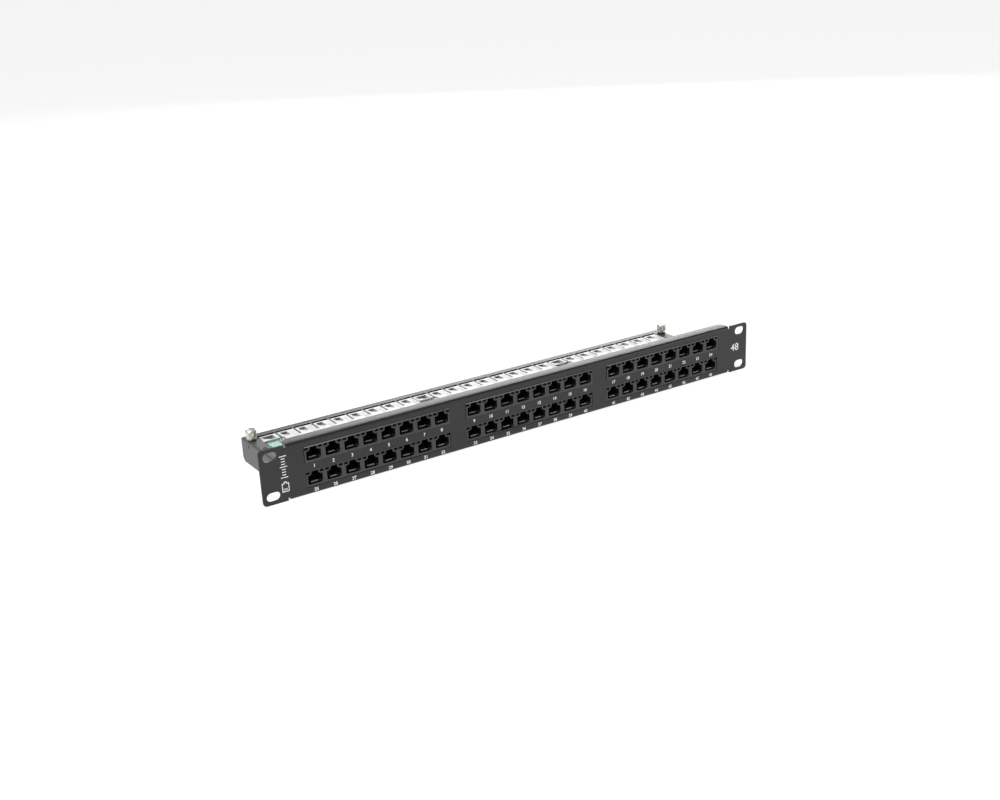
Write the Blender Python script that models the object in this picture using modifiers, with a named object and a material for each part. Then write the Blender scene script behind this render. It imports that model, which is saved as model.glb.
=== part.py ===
"""A 1U rack patch panel with 48 sockets: bent front panel, six jack blocks and a rear tray with two
layers of circuit boards and wire-termination strips.

Panel coordinates are used throughout: x to the right, y back from the panel's front face, z up from
the panel's mid height. An empty moves the whole assembly so that the world origin is the centre of
the bottom of its bounding box. Lengths below are in millimetres and MM turns them into metres.
"""

import math

import bmesh
import bpy
from mathutils import Vector

MM = 0.001
GAP = 0.3
CUT_OVERRUN = 3.0
TOUCH = 0.01
CORNER_REACH = 1.0
CORNER_SEGMENTS = 4
BEND_SEGMENTS = 3
SMOOTH_ANGLE = math.radians(40)

# Front panel
PANEL_WIDTH = 482.6
PANEL_HEIGHT = 44.2
PANEL_SHEET = 1.5
FLANGE_DEPTH = 11.5
FLANGE_HALF_LENGTH = 219.0
FLANGE_CORNER = 5.0
BEND_RADIUS = 2.0
EAR_CORNER = 3.0
NOTCH_WIDTH = 2.0
NOTCH_DEPTH = 2.6
SLOT_X = 232.55
SLOT_Z = 15.875
SLOT_LENGTH = 11.2
SLOT_WIDTH = 7.0
SLOT_SEGMENTS = 8

# Ports
GROUP_PITCH = 142.07
PORT_PITCH = 15.93
PORTS_PER_ROW = 8
ROW_PITCH = 20.0
UPPER_ROW_Z = 10.05
NOSE_WIDTH = 126.2
NOSE_HEIGHT = 12.7
NOSE_SINK = 2.0
UPPER_NOSE_Y = -0.6
LOWER_NOSE_Y = 0.4
BLOCK_WIDTH = 128.0
BLOCK_FRONT_Y = PANEL_SHEET + GAP
BLOCK_REAR_Y = 20.0
BLOCK_BOTTOM = -7.45
BLOCK_TOP = 7.75
SOCKET_HALF_WIDTH = 6.1
SOCKET_FLOOR = -4.65
SOCKET_SHOULDER = 2.55
LATCH_STEP_HALF_WIDTH = 4.0
LATCH_STEP_TOP = 3.35
LATCH_HALF_WIDTH = 2.9
LATCH_TOP = 5.65
LABEL_WINDOW_X = 5.75
LABEL_WINDOW_Z = 4.65
LABEL_WINDOW_WIDTH = 3.2
LABEL_WINDOW_HEIGHT = 1.9
LABEL_WINDOW_DEPTH = 1.2

# Contact carriers
TONGUE_HALF_WIDTH = 3.45
TONGUE_FRONT_Y = 2.4
TONGUE_THICKNESS = 0.7
TONGUE_SINK = 0.8
CARRIER_THICKNESS = 2.0
CARRIER_WIDTH = 127.0
CARRIER_FOOT_DEPTH = 4.2
CARRIER_FOOT_HEIGHT = 1.4
CARRIER_TOP = 7.45
CARRIER_JOINT = 0.5

# Rear tray
TRAY_SHEET = 1.2
TRAY_HALF_WIDTH = 216.0
TRAY_TOP = -2.5
TRAY_REAR_Y = 96.0
TRAY_BOTTOM = -PANEL_HEIGHT / 2
TRAY_LIP = 6.0
TRAY_LIP_HALF_WIDTH = 213.5
TRAY_CHAMFER = 3.0
TRAY_BEND = 1.2
TRAY_MOUTH_HALF_WIDTH = 206.6
TRAY_MOUTH_Y = 28.0
TAB_INNER_X = 207.0
TAB_LOW = -19.5
TAB_HIGH = -5.5
TAB_CLEARANCE = 0.7
FOLD_INSET = 0.1
WINDOW_FRONT_Y = 60.0
WINDOW_REAR_Y = 89.8
WINDOW_HALF_WIDTH = 206.0
FINGER_WIDTH = 1.0
FINGER_FRONT_Y = 74.2
WALL_SLIT_Y = 81.7
WALL_SLIT_WIDTH = 1.2
WALL_SLIT_LOW = -7.6
WALL_SLIT_HIGH = -4.4
COVER_FRONT_Y = FLANGE_DEPTH + 0.5
COVER_REAR_Y = 94.3
COVER_LIP = 5.0

# Boards and termination strips. The lower layer mirrors the upper one about LAYER_MIRROR_Z.
LAYER_MIRROR_Z = (TRAY_TOP + TRAY_BOTTOM) / 2
BOARD_HALF_WIDTH = 61.2
BOARD_FRONT_Y = 23.1
BOARD_REAR_Y = 74.5
BOARD_THICKNESS = 1.6
BOARD_TOP = TRAY_TOP - TRAY_SHEET - GAP
DECK_THICKNESS = 1.2
DECK_FRONT_Y = 66.0
STRIP_REAR_Y = 87.4
STRIP_BODY_FRONT_Y = 76.2
STRIP_BODY_BOTTOM = -11.9
STRIP_BODY_INSET = 0.4
STRIP_BODY_SINK = 0.6
STRIP_CLEARANCE = 0.5
GROOVE_LEAD = 0.4
GROOVE_DEPTH = 6.3
FIRST_TILE_FRONT_Y = 75.8
FIRST_TILE_NOTCH = 17.0
PIT_LEFT = 2.4
PIT_WIDTH = 5.9
FIRST_PIT_WIDTH = 9.6
PIT_FRONT_Y = 76.8
PIT_REAR_Y = 84.6
PIT_SLANT = 3.2
PIT_SLANT_SHARE = 0.55
PIT_DEPTH = 7.5

# Fasteners
BOARD_SCREW_X = -49.5
BOARD_SCREW_Y = 71.5
BOARD_SCREW_HEAD_R = 2.0
BOARD_SCREW_HEAD_HEIGHT = 1.1
BOARD_SCREW_R = 1.2
BOARD_SCREW_LENGTH = 6.0
SPACER_FLATS = 5.0
STUD_X = 210.8
STUD_Z = (-8.5, -16.5)
STUD_R = 1.5
STUD_LENGTH = 8.0
STUD_SINK = 0.7
NUT_FLATS = 5.5
NUT_HEIGHT = 2.4
COVER_SCREW_X = 211.4
COVER_SCREW_Y = 58.0
COVER_SCREW_HEAD_R = 2.5
COVER_SCREW_HEAD_HEIGHT = 1.6
COVER_SCREW_CROWN = 0.7
COVER_SCREW_SHOULDER = 0.5
BOSS_R = 2.9
BOSS_HEIGHT = 4.0
BOSS_SINK = 0.8
THUMBSCREW_X = 211.7
THUMBSCREW_Y = 84.5
THUMBSCREW_HEAD_R = 4.3
THUMBSCREW_HEAD_HEIGHT = 7.6
THUMBSCREW_CHAMFER = 0.6
THUMBSCREW_SLOT_WIDTH = 1.4
THUMBSCREW_SLOT_DEPTH = 1.6
THUMBSCREW_LENGTH = 8.6
WASHER_R = 4.0
WASHER_THICKNESS = 1.0
FASTENER_SIDES = 16

GROUPS = (("left", -GROUP_PITCH), ("middle", 0.0), ("right", GROUP_PITCH))
SIDES = (("left", -1), ("right", 1))
HALF_HEIGHT = PANEL_HEIGHT / 2

COLORS = {
    "black_steel": ((0.050, 0.052, 0.055, 1), 0.48, 0.0),
    "grey_steel": ((0.105, 0.107, 0.110, 1), 0.45, 0.0),
    "jack_plastic": ((0.075, 0.076, 0.078, 1), 0.55, 0.0),
    "carrier_plastic": ((0.020, 0.020, 0.022, 1), 0.50, 0.0),
    "board_laminate": ((0.330, 0.640, 0.530, 1), 0.40, 0.0),
    "strip_plastic": ((0.820, 0.830, 0.820, 1), 0.45, 0.0),
    "plated_steel": ((0.640, 0.640, 0.620, 1), 0.30, 1.0),
    "dark_washer": ((0.060, 0.058, 0.055, 1), 0.50, 1.0),
}


def clear_scene():
    for obj in list(bpy.data.objects):
        bpy.data.objects.remove(obj, do_unlink=True)


def new_collection(name, hidden):
    collection = bpy.data.collections.new(name)
    collection.hide_render = hidden
    bpy.context.scene.collection.children.link(collection)
    return collection


def material(name):
    found = bpy.data.materials.get(name)
    if found:
        return found
    color, roughness, metallic = COLORS[name]
    made = bpy.data.materials.new(name)
    made.use_nodes = True
    shader = made.node_tree.nodes["Principled BSDF"]
    shader.inputs["Base Color"].default_value = color
    shader.inputs["Roughness"].default_value = roughness
    shader.inputs["Metallic"].default_value = metallic
    return made


def part(name, mesh, material_name, at=(0, 0, 0)):
    """A visible sub-part, placed in panel coordinates under the assembly's empty."""
    obj = bpy.data.objects.new(name, mesh)
    PARTS.objects.link(obj)
    obj.parent = ASSEMBLY
    obj.location = Vector(at) * MM
    if not mesh.materials:
        mesh.materials.append(material(material_name))
    return obj


def helper(name, mesh, target):
    """A cutter or an added shape in the target's own coordinates."""
    obj = bpy.data.objects.new(name, mesh)
    HELPERS.objects.link(obj)
    obj.parent = target
    obj.hide_render = True
    obj.display_type = "WIRE"
    return obj


def boolean(target, mesh, operation, name):
    modifier = target.modifiers.new(name, "BOOLEAN")
    modifier.operation = operation
    modifier.solver = "EXACT"
    modifier.object = helper(f"{target.name}_{name}", mesh, target)


def cut(target, mesh, name):
    boolean(target, mesh, "DIFFERENCE", name)


def join(target, mesh, name):
    boolean(target, mesh, "UNION", name)


def mesh_of(build, name):
    """A mesh from a function that fills a bmesh in millimetres."""
    bm = bmesh.new()
    build(bm)
    bmesh.ops.scale(bm, vec=Vector((MM, MM, MM)), verts=bm.verts)
    mesh = bpy.data.meshes.new(name)
    bm.to_mesh(mesh)
    bm.free()
    return mesh


def rounded(mesh):
    """The same mesh, shaded smooth over its curved faces."""
    mesh.shade_smooth()
    mesh.set_sharp_from_angle(angle=SMOOTH_ANGLE)
    return mesh


def add_box(bm, low, high):
    made = bmesh.ops.create_cube(bm, size=1)["verts"]
    size = Vector(high) - Vector(low)
    bmesh.ops.scale(bm, vec=size, verts=made)
    bmesh.ops.translate(bm, vec=Vector(low) + size / 2, verts=made)


def add_prism(bm, outline, low, high, place):
    """A straight prism. place(a, b, h) turns an outline point and a height into x, y and z."""
    bottom = bm.faces.new([bm.verts.new(place(a, b, low)) for a, b in outline])
    made = bmesh.ops.extrude_face_region(bm, geom=[bottom])["geom"]
    moved = [item for item in made if isinstance(item, bmesh.types.BMVert)]
    bmesh.ops.translate(bm, vec=Vector(place(0, 0, high)) - Vector(place(0, 0, low)), verts=moved)


def facing_out(bm):
    bmesh.ops.recalc_face_normals(bm, faces=bm.faces)


def upright(a, b, h):
    return (a, b, h)


def endways(a, b, h):
    return (a, h, b)


def lengthways(a, b, h):
    return (h, a, b)


def add_disc(bm, radius, low, high, at=(0, 0), sides=FASTENER_SIDES, place=upright, turn=0.0):
    step = 2 * math.pi / sides
    outline = [
        (at[0] + radius * math.cos(turn + i * step), at[1] + radius * math.sin(turn + i * step))
        for i in range(sides)
    ]
    add_prism(bm, outline, low, high, place)


def boxes(name, corners):
    def build(bm):
        for low, high in corners:
            add_box(bm, low, high)

    return mesh_of(build, name)


def discs(name, rows, place=upright):
    """rows: (radius, low, high, (a, b)) for each disc."""

    def build(bm):
        for radius, low, high, at in rows:
            add_disc(bm, radius, low, high, at, place=place)
        facing_out(bm)

    return rounded(mesh_of(build, name))


def obround(length, width):
    """The outline of a slot along the first axis."""
    radius = width / 2
    reach = length / 2 - radius
    points = []
    for end in (1, -1):
        for i in range(SLOT_SEGMENTS + 1):
            angle = math.pi * (i / SLOT_SEGMENTS - 0.5)
            points.append((end * (reach + radius * math.cos(angle)), end * radius * math.sin(angle)))
    return points


def solidify(target, thickness):
    modifier = target.modifiers.new("sheet", "SOLIDIFY")
    modifier.thickness = thickness * MM
    modifier.offset = -1
    modifier.use_even_offset = True


def sheet_face(bm, points):
    return bm.faces.new([bm.verts.new(point) for point in points])


def weld(bm):
    bmesh.ops.remove_doubles(bm, verts=bm.verts, dist=TOUCH)


def edges_where(bm, test):
    return [edge for edge in bm.edges if all(test(vert.co) for vert in edge.verts)]


def verts_where(bm, test):
    return [vert for vert in bm.verts if test(vert.co)]


def round_corners(bm, verts, radius):
    bmesh.ops.bevel(
        bm, geom=verts, offset=radius, segments=CORNER_SEGMENTS, profile=0.5, affect="VERTICES"
    )


def round_bends(bm, edges, radius):
    bmesh.ops.bevel(bm, geom=edges, offset=radius, segments=BEND_SEGMENTS, profile=0.5, affect="EDGES")


# ---- front panel ----


def panel_skin(bm):
    """The panel's outer skin: a web with ears, relief notches and two flanges that point back."""
    half = PANEL_WIDTH / 2
    flange = FLANGE_HALF_LENGTH
    ear = flange + NOTCH_WIDTH
    low = HALF_HEIGHT - NOTCH_DEPTH
    corner = [(flange, HALF_HEIGHT), (flange, low), (ear, low), (ear, HALF_HEIGHT), (half, HALF_HEIGHT)]
    right = corner + [(x, -z) for x, z in reversed(corner)]
    left = [(-x, z) for x, z in reversed(right)]
    sheet_face(bm, [(x, 0, z) for x, z in left + right])
    for z in (HALF_HEIGHT, -HALF_HEIGHT):
        sheet_face(
            bm,
            [(-flange, 0, z), (flange, 0, z), (flange, FLANGE_DEPTH, z), (-flange, FLANGE_DEPTH, z)],
        )
    weld(bm)
    facing_out(bm)
    round_corners(bm, verts_where(bm, lambda co: abs(co.x) > half - CORNER_REACH), EAR_CORNER)
    round_corners(bm, verts_where(bm, lambda co: co.y > FLANGE_DEPTH - CORNER_REACH), FLANGE_CORNER)

    def at_bend(co):
        at_edge = abs(co.y) < TOUCH and HALF_HEIGHT - abs(co.z) < TOUCH
        return at_edge and abs(co.x) < ear - CORNER_REACH

    round_bends(bm, edges_where(bm, at_bend), BEND_RADIUS)
    facing_out(bm)
    web = max(bm.faces, key=lambda face: face.calc_area())
    if web.normal.y > 0:
        bmesh.ops.reverse_faces(bm, faces=bm.faces)


def row_z(row):
    return UPPER_ROW_Z if row == "upper" else UPPER_ROW_Z - ROW_PITCH


def panel_windows(bm):
    width = NOSE_WIDTH / 2 + GAP
    height = NOSE_HEIGHT / 2 + GAP
    for _, x in GROUPS:
        for row in ("upper", "lower"):
            z = row_z(row)
            low = (x - width, -CUT_OVERRUN, z - height)
            high = (x + width, PANEL_SHEET + CUT_OVERRUN, z + height)
            add_box(bm, low, high)


def panel_slots(bm):
    for side in (-1, 1):
        for height in (-1, 1):
            outline = [(side * SLOT_X + a, height * SLOT_Z + b) for a, b in obround(SLOT_LENGTH, SLOT_WIDTH)]
            add_prism(bm, outline, -CUT_OVERRUN, PANEL_SHEET + CUT_OVERRUN, endways)
    facing_out(bm)


def make_front_panel():
    panel = part("front_panel", mesh_of(panel_skin, "front_panel"), "black_steel")
    solidify(panel, PANEL_SHEET)
    cut(panel, mesh_of(panel_windows, "windows"), "windows")
    cut(panel, mesh_of(panel_slots, "slots"), "slots")
    rows = [
        (STUD_R, PANEL_SHEET - STUD_SINK, PANEL_SHEET + STUD_LENGTH, (side * STUD_X, z))
        for side in (-1, 1)
        for z in STUD_Z
    ]
    join(panel, discs("studs", rows, endways), "studs")


# ---- jack blocks and contact carriers ----


def port_x(i):
    return (i - (PORTS_PER_ROW - 1) / 2) * PORT_PITCH


def socket_outline(x):
    """A socket's mouth: a wide lower part and two narrower steps for the plug's latch."""
    right = [
        (SOCKET_HALF_WIDTH, SOCKET_FLOOR),
        (SOCKET_HALF_WIDTH, SOCKET_SHOULDER),
        (LATCH_STEP_HALF_WIDTH, SOCKET_SHOULDER),
        (LATCH_STEP_HALF_WIDTH, LATCH_STEP_TOP),
        (LATCH_HALF_WIDTH, LATCH_STEP_TOP),
        (LATCH_HALF_WIDTH, LATCH_TOP),
    ]
    left = [(-a, b) for a, b in reversed(right)]
    return [(x + a, b) for a, b in right + left]


def sockets(bm):
    for i in range(PORTS_PER_ROW):
        add_prism(bm, socket_outline(port_x(i)), -CUT_OVERRUN, BLOCK_REAR_Y + CUT_OVERRUN, endways)
    facing_out(bm)


def label_windows(nose_y):
    def build(bm):
        for i in range(PORTS_PER_ROW):
            for side in (-1, 1):
                x = port_x(i) + side * LABEL_WINDOW_X
                width = LABEL_WINDOW_WIDTH / 2
                height = LABEL_WINDOW_HEIGHT / 2
                low = (x - width, nose_y - CUT_OVERRUN, LABEL_WINDOW_Z - height)
                high = (x + width, nose_y + LABEL_WINDOW_DEPTH, LABEL_WINDOW_Z + height)
                add_box(bm, low, high)

    return build


def make_jack_block(row, group, x):
    """The nose stands in the panel's window and the wider body bears on the panel from behind."""
    nose_y = UPPER_NOSE_Y if row == "upper" else LOWER_NOSE_Y
    name = f"jack_block_{row}_{group}"
    half = BLOCK_WIDTH / 2
    body = ((-half, BLOCK_FRONT_Y, BLOCK_BOTTOM), (half, BLOCK_REAR_Y, BLOCK_TOP))
    block = part(name, boxes(name, [body]), "jack_plastic", (x, 0, row_z(row)))
    nose = (
        (-NOSE_WIDTH / 2, nose_y, -NOSE_HEIGHT / 2),
        (NOSE_WIDTH / 2, BLOCK_FRONT_Y + NOSE_SINK, NOSE_HEIGHT / 2),
    )
    join(block, boxes("nose", [nose]), "nose")
    cut(block, mesh_of(sockets, "sockets"), "sockets")
    cut(block, mesh_of(label_windows(nose_y), "label_windows"), "label_windows")


def make_carrier(row, group, x):
    """A plate behind the block with a foot on the circuit board and a tongue on each socket's floor."""
    z = row_z(row)
    board_top = BOARD_TOP if row == "upper" else 2 * LAYER_MIRROR_Z - BOARD_TOP + BOARD_THICKNESS
    bottom = board_top + GAP - z
    top = CARRIER_TOP if row == "upper" else BOARD_TOP + GAP - CARRIER_JOINT - z
    plate_y = BLOCK_REAR_Y + GAP
    rear_y = plate_y + CARRIER_THICKNESS
    half = CARRIER_WIDTH / 2
    name = f"contact_carrier_{row}_{group}"

    def plate_and_foot(bm):
        outline = [
            (plate_y, bottom),
            (rear_y + CARRIER_FOOT_DEPTH, bottom),
            (rear_y + CARRIER_FOOT_DEPTH, bottom + CARRIER_FOOT_HEIGHT),
            (rear_y, bottom + CARRIER_FOOT_HEIGHT),
            (rear_y, top),
            (plate_y, top),
        ]
        add_prism(bm, outline, -half, half, lengthways)
        facing_out(bm)

    floor = SOCKET_FLOOR + GAP
    tongues = [
        (
            (port_x(i) - TONGUE_HALF_WIDTH, TONGUE_FRONT_Y, floor),
            (port_x(i) + TONGUE_HALF_WIDTH, plate_y + TONGUE_SINK, floor + TONGUE_THICKNESS),
        )
        for i in range(PORTS_PER_ROW)
    ]
    carrier = part(name, mesh_of(plate_and_foot, name), "carrier_plastic", (x, 0, z))
    join(carrier, boxes("tongues", tongues), "tongues")


# ---- rear tray and bottom cover ----


def tile_edges(group_x):
    return [group_x + (i - PORTS_PER_ROW / 2) * PORT_PITCH for i in range(PORTS_PER_ROW + 1)]


def finger_positions():
    edges = [x for _, group_x in GROUPS for x in tile_edges(group_x)]
    return edges[1:-1]


def comb_window(low, high):
    """The window over the termination strips, with a steel finger left at each tile joint."""

    def build(bm):
        outline = [(-WINDOW_HALF_WIDTH, WINDOW_FRONT_Y), (WINDOW_HALF_WIDTH, WINDOW_FRONT_Y)]
        outline.append((WINDOW_HALF_WIDTH, WINDOW_REAR_Y))
        for x in reversed(finger_positions()):
            outline.append((x + FINGER_WIDTH / 2, WINDOW_REAR_Y))
            outline.append((x + FINGER_WIDTH / 2, FINGER_FRONT_Y))
            outline.append((x - FINGER_WIDTH / 2, FINGER_FRONT_Y))
            outline.append((x - FINGER_WIDTH / 2, WINDOW_REAR_Y))
        outline.append((-WINDOW_HALF_WIDTH, WINDOW_REAR_Y))
        add_prism(bm, outline, low, high, upright)
        facing_out(bm)

    return build


def tray_channel(bm):
    """The top sheet and both side walls, as a channel that runs from front to rear."""
    half = TRAY_HALF_WIDTH
    inner = half - TRAY_SHEET
    top = TRAY_TOP
    arc = [math.radians(90 * i / BEND_SEGMENTS) for i in range(BEND_SEGMENTS + 1)]
    outer_arc = [
        (half - TRAY_BEND + TRAY_BEND * math.cos(angle), top - TRAY_BEND + TRAY_BEND * math.sin(angle))
        for angle in arc
    ]
    right = [(inner, top - TRAY_SHEET), (inner, TRAY_BOTTOM), (half, TRAY_BOTTOM)] + outer_arc
    left = [(-x, z) for x, z in reversed(right)]
    add_prism(bm, right + left, BLOCK_FRONT_Y, TRAY_REAR_Y, endways)
    facing_out(bm)


def tray_trims(bm):
    """Clears the walls' lower front corners for the panel's flange and takes off their rear corners."""
    half = TRAY_HALF_WIDTH + CUT_OVERRUN
    low = TRAY_BOTTOM - CUT_OVERRUN
    front = -CUT_OVERRUN
    high = TAB_LOW - TAB_CLEARANCE
    step = [(front, low), (COVER_FRONT_Y, low), (COVER_FRONT_Y, high), (front, high)]
    add_prism(bm, step, -half, half, lengthways)
    rear = TRAY_REAR_Y + CUT_OVERRUN
    reach = TRAY_CHAMFER + 2 * CUT_OVERRUN
    corner = [(rear, low), (rear, low + reach), (rear - reach, low)]
    add_prism(bm, corner, -half, half, lengthways)
    facing_out(bm)


def make_rear_tray():
    tray = part("rear_tray", mesh_of(tray_channel, "rear_tray"), "grey_steel")
    overlap = TRAY_SHEET / 2
    top = TRAY_TOP
    front = BLOCK_FRONT_Y + FOLD_INSET
    rear = TRAY_REAR_Y - FOLD_INSET
    lip = TRAY_LIP_HALF_WIDTH
    folds = [((-lip, rear - TRAY_SHEET, top - TRAY_LIP), (lip, rear, top - overlap))]
    for side in (-1, 1):
        ends = sorted((side * TAB_INNER_X, side * (TRAY_HALF_WIDTH - overlap)))
        folds.append(((ends[0], front, TAB_LOW), (ends[1], front + TRAY_SHEET, TAB_HIGH)))
    join(tray, boxes("folds", folds), "folds")
    cut(tray, mesh_of(tray_trims, "trims"), "trims")
    low = top - TRAY_SHEET - CUT_OVERRUN
    high = top + CUT_OVERRUN
    mouth = (
        (-TRAY_MOUTH_HALF_WIDTH, -CUT_OVERRUN, low),
        (TRAY_MOUTH_HALF_WIDTH, TRAY_MOUTH_Y, high),
    )
    cut(tray, boxes("mouth", [mouth]), "mouth")
    cut(tray, mesh_of(comb_window(low, high), "window"), "window")
    holes = []
    slits = []
    for _, side in SIDES:
        holes.append((STUD_R + GAP, low, high, (side * THUMBSCREW_X, THUMBSCREW_Y)))
        holes.append((STUD_R + GAP, low, high, (side * COVER_SCREW_X, COVER_SCREW_Y)))
        inner = side * (TRAY_HALF_WIDTH - 2 * TRAY_SHEET)
        ends = sorted((inner, side * (TRAY_HALF_WIDTH + CUT_OVERRUN)))
        slits.append(
            (
                (ends[0], WALL_SLIT_Y - WALL_SLIT_WIDTH / 2, WALL_SLIT_LOW),
                (ends[1], WALL_SLIT_Y + WALL_SLIT_WIDTH / 2, WALL_SLIT_HIGH),
            )
        )
    cut(tray, discs("screw_holes", holes), "screw_holes")
    cut(tray, boxes("wall_slits", slits), "wall_slits")
    back = front + TRAY_SHEET + CUT_OVERRUN
    tab_holes = [(STUD_R + GAP, 0, back, (side * STUD_X, z)) for side in (-1, 1) for z in STUD_Z]
    cut(tray, discs("tab_holes", tab_holes, endways), "tab_holes")


def cover_profile(bm):
    """The bottom cover's sheet with an upturned lip along the rear."""
    half = TRAY_HALF_WIDTH - TRAY_SHEET - GAP
    low = TRAY_BOTTOM
    rear = COVER_REAR_Y
    outline = [
        (COVER_FRONT_Y, low),
        (rear, low),
        (rear, low + COVER_LIP),
        (rear - TRAY_SHEET, low + COVER_LIP),
        (rear - TRAY_SHEET, low + TRAY_SHEET),
        (COVER_FRONT_Y, low + TRAY_SHEET),
    ]
    add_prism(bm, outline, -half, half, lengthways)
    facing_out(bm)


def make_bottom_cover():
    cover = part("bottom_cover", mesh_of(cover_profile, "bottom_cover"), "grey_steel")
    low = TRAY_BOTTOM - CUT_OVERRUN
    floor = TRAY_BOTTOM + TRAY_SHEET
    cut(cover, mesh_of(comb_window(low, floor + CUT_OVERRUN), "window"), "window")
    bosses = []
    bores = []
    for _, side in SIDES:
        at = (side * COVER_SCREW_X, COVER_SCREW_Y)
        bosses.append((BOSS_R, floor - BOSS_SINK, floor + BOSS_HEIGHT, at))
        bores.append((STUD_R + GAP, low, floor + BOSS_HEIGHT + CUT_OVERRUN, at))
    join(cover, discs("bosses", bosses), "bosses")
    cut(cover, discs("boss_bores", bores), "boss_bores")


# ---- boards and termination strips ----


def layer(z, row):
    """A height in the upper layer, or its mirror image in the lower one."""
    return z if row == "upper" else 2 * LAYER_MIRROR_Z - z


def layer_box(low, high, row):
    """A box given in the upper layer's coordinates."""
    ends = sorted((layer(low[2], row), layer(high[2], row)))
    return ((low[0], low[1], ends[0]), (high[0], high[1], ends[1]))


def layer_range(low, high, row):
    return sorted((layer(low, row), layer(high, row)))


def make_board(row, group, x):
    name = f"circuit_board_{row}_{group}"
    slab = layer_box(
        (-BOARD_HALF_WIDTH, BOARD_FRONT_Y, BOARD_TOP - BOARD_THICKNESS),
        (BOARD_HALF_WIDTH, BOARD_REAR_Y, BOARD_TOP),
        row,
    )
    board = part(name, boxes(name, [slab]), "board_laminate", (x, 0, 0))
    low, high = layer_range(BOARD_TOP - BOARD_THICKNESS - CUT_OVERRUN, BOARD_TOP + CUT_OVERRUN, row)
    hole = discs("screw_hole", [(BOARD_SCREW_R + GAP, low, high, (BOARD_SCREW_X, BOARD_SCREW_Y))])
    cut(board, hole, "screw_hole")


def pit_outline(left, width):
    """A pit's mouth: square at the rear, slanting forward along its left side."""
    return [
        (left, PIT_FRONT_Y + PIT_SLANT),
        (left + width * PIT_SLANT_SHARE, PIT_FRONT_Y),
        (left + width, PIT_FRONT_Y),
        (left + width, PIT_REAR_Y),
        (left, PIT_REAR_Y),
    ]


def make_strip(row, group, x):
    """A thin deck over the board's rear part, with a deep body behind the board. Left and middle strips
    carry one tile more, which covers the joint to the next group."""
    name = f"idc_strip_{row}_{group}"
    edges = tile_edges(0)
    if group != "right":
        edges.append(edges[0] + GROUP_PITCH)
    half_groove = FINGER_WIDTH / 2 + STRIP_CLEARANCE
    left = edges[0] + half_groove
    right = edges[-1] - half_groove
    deck_low = TRAY_TOP - DECK_THICKNESS

    def deck(bm):
        outline = [
            (left, FIRST_TILE_FRONT_Y),
            (left + FIRST_TILE_NOTCH, FIRST_TILE_FRONT_Y),
            (left + FIRST_TILE_NOTCH, DECK_FRONT_Y),
            (right, DECK_FRONT_Y),
            (right, STRIP_REAR_Y),
            (left, STRIP_REAR_Y),
        ]
        low, high = layer_range(deck_low, TRAY_TOP, row)
        add_prism(bm, outline, low, high, upright)
        facing_out(bm)

    strip = part(name, mesh_of(deck, name), "strip_plastic", (x, 0, 0))
    body = layer_box(
        (left + STRIP_BODY_INSET, STRIP_BODY_FRONT_Y, STRIP_BODY_BOTTOM),
        (right - STRIP_BODY_INSET, STRIP_REAR_Y - STRIP_BODY_INSET, deck_low + STRIP_BODY_SINK),
        row,
    )
    join(strip, boxes("body", [body]), "body")
    grooves = [
        layer_box(
            (edge - half_groove, FINGER_FRONT_Y - GROOVE_LEAD, TRAY_TOP - GROOVE_DEPTH),
            (edge + half_groove, STRIP_REAR_Y + CUT_OVERRUN, TRAY_TOP + CUT_OVERRUN),
            row,
        )
        for edge in edges[1:-1]
    ]
    cut(strip, boxes("finger_grooves", grooves), "finger_grooves")

    def pits(bm):
        low, high = layer_range(TRAY_TOP - PIT_DEPTH, TRAY_TOP + CUT_OVERRUN, row)
        for i, edge in enumerate(edges[:-1]):
            width = FIRST_PIT_WIDTH if i == 0 else PIT_WIDTH
            add_prism(bm, pit_outline(edge + PIT_LEFT, width), low, high, upright)
        facing_out(bm)

    cut(strip, mesh_of(pits, "pits"), "pits")


# ---- fasteners ----


def hex_ring(flats, bore, height, place=upright):
    """A hexagon across its flats with a round bore. Two flats face +X and -X."""

    def build(bm):
        radius = flats / 2 / math.cos(math.pi / 6)
        add_disc(bm, radius, 0, height, sides=6, place=place, turn=math.pi / 6)
        facing_out(bm)

    def hole(bm):
        add_disc(bm, bore, -CUT_OVERRUN, height + CUT_OVERRUN, place=place)
        facing_out(bm)

    return mesh_of(build, "hexagon"), mesh_of(hole, "bore")


def make_hex(name, flats, bore, height, at, place=upright):
    body, hole = hex_ring(flats, bore, height, place)
    obj = part(name, body, "plated_steel", at)
    cut(obj, hole, "bore")


def turned(name, profile, material_name, at, turn_over=False):
    """A solid of revolution about Z. The profile runs down its outer side, from axis to axis."""

    def build(bm):
        points = [bm.verts.new((radius, 0, z)) for radius, z in profile]
        edges = [bm.edges.new(pair) for pair in zip(points, points[1:])]
        bmesh.ops.spin(
            bm,
            geom=points + edges,
            cent=(0, 0, 0),
            axis=(0, 0, 1),
            angle=2 * math.pi,
            steps=FASTENER_SIDES,
            use_merge=True,
        )
        weld(bm)
        facing_out(bm)

    obj = part(name, rounded(mesh_of(build, name)), material_name, at)
    if turn_over:
        obj.rotation_euler = (math.pi, 0, 0)
    return obj


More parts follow.
